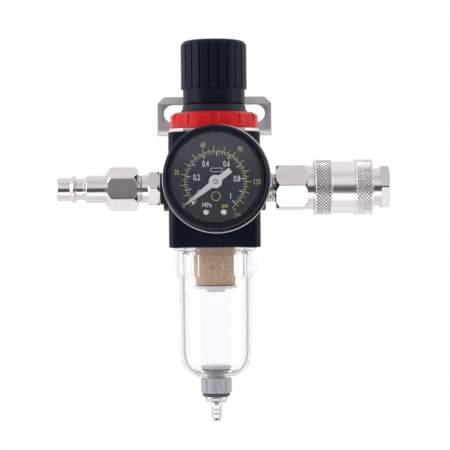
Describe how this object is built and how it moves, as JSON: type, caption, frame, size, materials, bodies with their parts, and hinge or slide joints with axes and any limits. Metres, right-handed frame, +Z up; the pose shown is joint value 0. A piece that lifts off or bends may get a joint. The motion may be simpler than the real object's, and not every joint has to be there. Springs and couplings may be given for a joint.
{
  "type": "air pressure regulator",
  "caption": "Compact compressed-air filter-regulator: clear filter bowl with drain, pull-to-unlock pressure knob, dial gauge, angle bracket, and quick-connect plug and coupler.",
  "frame": {"origin": "centre of the rear face of the mounting bracket, midway between its two slots, where the face meets a wall", "axes": "+Z up along the knob and bowl axis, +Y out of the bracket into the wall, +X from inlet to outlet; the gauge faces -Y"},
  "size_m": [0.147, 0.0796, 0.169],
  "materials": {
    "cast_black": "black satin powder coat on die-cast body",
    "knob_black": "satin moulded black plastic, faintly blue",
    "ring_red": "glossy moulded red plastic",
    "zinc_sheet": "zinc plated sheet, fine rolled grain",
    "nickel": "bright nickel plate on turned brass",
    "brass": "plain turned brass",
    "spring_steel": "bright spring wire",
    "chrome": "polished chrome plate",
    "rubber": "matt black nitrile rubber",
    "bezel_black": "semi-gloss black bezel",
    "dial_black": "matt blue-black printed dial",
    "pointer_grey": "pale grey painted sheet",
    "lens_clear": "clear gauge window",
    "bowl_clear": "clear polycarbonate bowl",
    "sintered_bronze": "grainy sintered filter element, tan",
    "natural_plastic": "translucent natural plastic",
    "black_plastic": "satin black plastic",
    "grey_plastic": "satin mid grey plastic",
    "barb_metal": "bright turned hose tail"
  },
  "bodies": {
    "housing": {"regulator_body": "cast_black", "mounting_bracket": "zinc_sheet", "lock_ring": "ring_red", "bonnet": "black_plastic", "regulating_spring": "spring_steel", "diaphragm": "rubber", "valve_return_spring": "spring_steel", "valve_guide": "natural_plastic", "swirl_deflector": "natural_plastic", "filter_element": "sintered_bronze", "baffle": "natural_plastic", "bowl_o_ring": "rubber", "bowl": "bowl_clear", "drain_seal": "rubber", "drain_valve_body": "grey_plastic", "gauge_socket": "brass", "gauge_case": "chrome", "gauge_bezel": "bezel_black", "gauge_lens": "lens_clear", "gauge_dial": "dial_black", "stop_pin": "brass", "dial_screw_left": "chrome", "dial_screw_right": "chrome", "movement_rear_plate": "brass", "movement_front_plate": "brass", "bourdon_tube": "brass", "rear_port_plug": "nickel", "inlet_seal": "rubber", "inlet_adapter": "nickel", "inlet_plug": "nickel", "outlet_nipple": "nickel", "coupler_body": "nickel", "coupler_barrel": "nickel", "sleeve_spring": "spring_steel", "retaining_ring": "spring_steel", "coupler_seal": "rubber", "coupler_valve_spring": "spring_steel"},
    "screw_drive": {"adjusting_screw": "spring_steel"},
    "knob": {"adjusting_knob": "knob_black"},
    "upper_seat": {"adjusting_nut": "brass"},
    "valve_train": {"diaphragm_plate": "brass", "relief_seat": "brass", "valve_stem": "brass", "valve_poppet": "rubber"},
    "drain_tail": {"drain_barb": "barb_metal", "drain_ring": "rubber"},
    "drain_grip": {"drain_knob": "grey_plastic"},
    "pointer": {"gauge_pointer": "pointer_grey", "pinion_arbor": "brass"},
    "sector": {"sector_gear": "brass"},
    "link": {"gauge_link": "brass"},
    "sleeve": {"coupler_sleeve": "nickel"},
    "check_valve": {"coupler_valve": "brass"},
    "ball_front": {"locking_ball_1": "spring_steel"},
    "ball_low": {"locking_ball_2": "spring_steel"},
    "ball_rear": {"locking_ball_3": "spring_steel"},
    "ball_high": {"locking_ball_4": "spring_steel"}
  },
  "joints": [
    {"name": "knob_turn", "type": "hinge", "parent": "housing", "child": "screw_drive", "pos_m": [0, -0.03, 0.0155], "axis": [0, 0, -1], "range_deg": [0, 1800]},
    {"name": "knob_pull", "type": "slide", "parent": "screw_drive", "child": "knob", "axis": [0, 0, 1], "range_m": [0, 0.0035]},
    {"name": "seat_travel", "type": "slide", "parent": "housing", "child": "upper_seat", "axis": [0, 0, -1], "range_m": [0, 0.00751], "deforming": ["regulating_spring"]},
    {"name": "valve_travel", "type": "slide", "parent": "housing", "child": "valve_train", "axis": [0, 0, -1], "range_m": [0, 0.0012], "stiffness_N_per_m": 900, "springref_m": -0.002, "deforming": ["valve_return_spring", "diaphragm"]},
    {"name": "drain_lift", "type": "slide", "parent": "housing", "child": "drain_tail", "axis": [0, 0, -1], "range_m": [0, 0.00151]},
    {"name": "drain_turn", "type": "hinge", "parent": "drain_tail", "child": "drain_grip", "pos_m": [0, -0.03, -0.122], "axis": [0, 0, -1], "range_deg": [0, 180]},
    {"name": "pointer_turn", "type": "hinge", "parent": "housing", "child": "pointer", "pos_m": [0.0006, -0.074, -0.0323], "axis": [0, 1, 0], "range_deg": [0, 266], "stiffness_Nm_per_rad": 0.0001, "springref_deg": -34.38},
    {"name": "sector_turn", "type": "hinge", "parent": "housing", "child": "sector", "pos_m": [0.0006, -0.0667, -0.0431], "axis": [0, 1, 0], "range_deg": [-53.3, 0]},
    {"name": "link_turn", "type": "hinge", "parent": "sector", "child": "link", "pos_m": [0.00436, -0.0679, -0.04447], "axis": [0, 1, 0], "range_deg": [0, 53.3]},
    {"name": "sleeve_slide", "type": "slide", "parent": "housing", "child": "sleeve", "axis": [-1, 0, 0], "range_m": [0, 0.0028], "stiffness_N_per_m": 1500, "springref_m": -0.004, "deforming": ["sleeve_spring"]},
    {"name": "valve_push", "type": "slide", "parent": "housing", "child": "check_valve", "axis": [-1, 0, 0], "range_m": [0, 0.004], "stiffness_N_per_m": 700, "springref_m": -0.004, "deforming": ["coupler_valve_spring"]},
    {"name": "ball_front_slide", "type": "slide", "parent": "housing", "child": "ball_front", "axis": [0, -1, 0], "range_m": [0, 0.00071]},
    {"name": "ball_low_slide", "type": "slide", "parent": "housing", "child": "ball_low", "axis": [0, 0, -1], "range_m": [0, 0.00071]},
    {"name": "ball_rear_slide", "type": "slide", "parent": "housing", "child": "ball_rear", "axis": [0, 1, 0], "range_m": [0, 0.00071]},
    {"name": "ball_high_slide", "type": "slide", "parent": "housing", "child": "ball_high", "axis": [0, 0, 1], "range_m": [0, 0.00071]}
  ],
  "couplings": [
    {"joint": "seat_travel", "follows": "knob_turn", "m_per_rad": 0.00023873},
    {"joint": "drain_lift", "follows": "drain_turn", "m_per_rad": 0.00047746},
    {"joint": "sector_turn", "follows": "pointer_turn", "ratio": -0.2},
    {"joint": "link_turn", "follows": "pointer_turn", "ratio": 0.2},
    {"joint": "ball_front_slide", "follows": "sleeve_slide", "ratio": 0.25},
    {"joint": "ball_low_slide", "follows": "sleeve_slide", "ratio": 0.25},
    {"joint": "ball_rear_slide", "follows": "sleeve_slide", "ratio": 0.25},
    {"joint": "ball_high_slide", "follows": "sleeve_slide", "ratio": 0.25}
  ]
}
